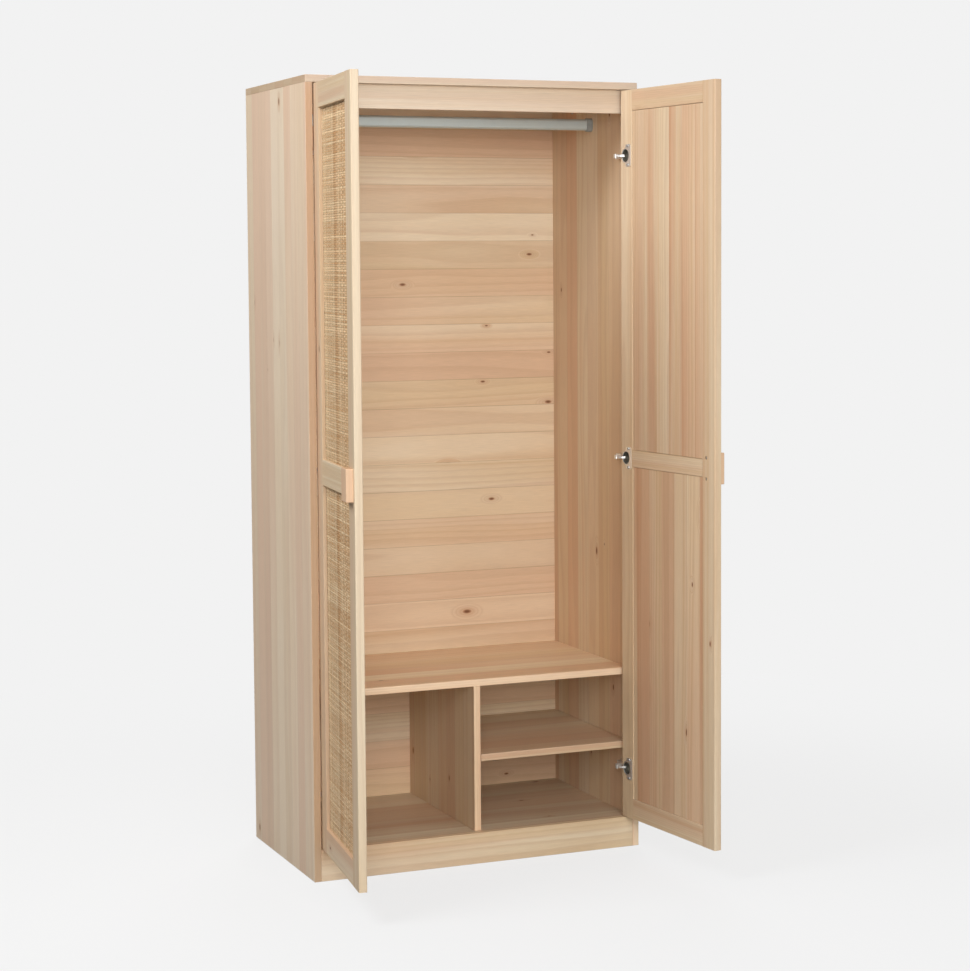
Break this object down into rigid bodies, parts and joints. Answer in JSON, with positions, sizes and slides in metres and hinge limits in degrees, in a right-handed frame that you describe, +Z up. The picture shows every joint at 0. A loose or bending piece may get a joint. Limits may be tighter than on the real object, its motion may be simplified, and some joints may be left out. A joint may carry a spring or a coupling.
{
  "type": "wardrobe",
  "caption": "Tall softwood wardrobe with framed woven-cane doors on concealed hinges, an oval clothes rail and open compartments below.",
  "frame": {"origin": "centre of the carcass footprint, on the floor (bottom edge of the centre brace)", "axes": "+X to the right seen from the front, +Y from the front to the back, +Z up"},
  "size_m": [0.9825, 0.918, 2],
  "materials": {
    "carcass_wood": "clear matt lacquered softwood boards with small brown knots",
    "door_frame_wood": "clear matt lacquered softwood",
    "door_panel_wood": "clear matt lacquered softwood boards",
    "handle_wood": "clear matt lacquered softwood",
    "woven_cane": "natural woven cane",
    "beech": "plain beech",
    "nickel_steel": "bright nickel-plated steel",
    "zinc_steel": "zinc-plated steel",
    "satin_aluminium": "satin anodised",
    "grey_plastic": "satin grey"
  },
  "bodies": {
    "carcass": {"back_panel": "carcass_wood", "back_screws": "zinc_steel", "bottom_board": "carcass_wood", "cam_bolts": "zinc_steel", "cam_discs": "zinc_steel", "clothes_rail": "satin_aluminium", "divider": "carcass_wood", "dowels": "beech", "front_top_rail": "carcass_wood", "half_shelf": "carcass_wood", "left_hinge_arms": "nickel_steel", "left_hinge_pins": "nickel_steel", "left_hinge_plate_screws": "zinc_steel", "left_hinge_plates": "nickel_steel", "left_rail_socket": "grey_plastic", "left_rail_socket_screws": "zinc_steel", "left_side_panel": "carcass_wood", "mid_shelf": "carcass_wood", "plinth_back": "carcass_wood", "plinth_brace": "carcass_wood", "plinth_front": "carcass_wood", "right_hinge_arms": "nickel_steel", "right_hinge_pins": "nickel_steel", "right_hinge_plate_screws": "zinc_steel", "right_hinge_plates": "nickel_steel", "right_rail_socket": "grey_plastic", "right_rail_socket_screws": "zinc_steel", "right_side_panel": "carcass_wood", "shelf_pins": "zinc_steel", "top_panel": "carcass_wood"},
    "left_door": {"left_door_bottom_rail": "door_frame_wood", "left_door_free_stile": "door_frame_wood", "left_door_handle": "handle_wood", "left_door_handle_screws": "zinc_steel", "left_door_hinge_cup_screws": "zinc_steel", "left_door_hinge_cups": "nickel_steel", "left_door_hinge_stile": "door_frame_wood", "left_door_lower_cane": "woven_cane", "left_door_lower_panel": "door_panel_wood", "left_door_mid_rail": "door_frame_wood", "left_door_top_rail": "door_frame_wood", "left_door_upper_cane": "woven_cane", "left_door_upper_panel": "door_panel_wood"},
    "right_door": {"right_door_bottom_rail": "door_frame_wood", "right_door_free_stile": "door_frame_wood", "right_door_handle": "handle_wood", "right_door_handle_screws": "zinc_steel", "right_door_hinge_cup_screws": "zinc_steel", "right_door_hinge_cups": "nickel_steel", "right_door_hinge_stile": "door_frame_wood", "right_door_lower_cane": "woven_cane", "right_door_lower_panel": "door_panel_wood", "right_door_mid_rail": "door_frame_wood", "right_door_top_rail": "door_frame_wood", "right_door_upper_cane": "woven_cane", "right_door_upper_panel": "door_panel_wood"},
    "left_links": {"left_hinge_links": "nickel_steel"},
    "right_links": {"right_hinge_links": "nickel_steel"}
  },
  "joints": [
    {"name": "left_door_swing", "type": "hinge", "parent": "carcass", "child": "left_door", "pos_m": [-0.42375, -0.2461, 0], "axis": [0, 0, -1], "range_deg": [-97, 11]},
    {"name": "right_door_swing", "type": "hinge", "parent": "carcass", "child": "right_door", "pos_m": [0.42375, -0.2461, 0], "axis": [0, 0, 1], "range_deg": [-96, 12]},
    {"name": "left_link_turn", "type": "hinge", "parent": "carcass", "child": "left_links", "pos_m": [-0.3941, -0.2371, 0], "axis": [0, 0, 1], "range_deg": [-42.49, 5]},
    {"name": "right_link_turn", "type": "hinge", "parent": "carcass", "child": "right_links", "pos_m": [0.3941, -0.2371, 0], "axis": [0, 0, -1], "range_deg": [-42.06, 5.43]}
  ],
  "couplings": [
    {"joint": "left_link_turn", "follows": "left_door_swing", "ratio": 0.436},
    {"joint": "right_link_turn", "follows": "right_door_swing", "ratio": 0.436}
  ]
}
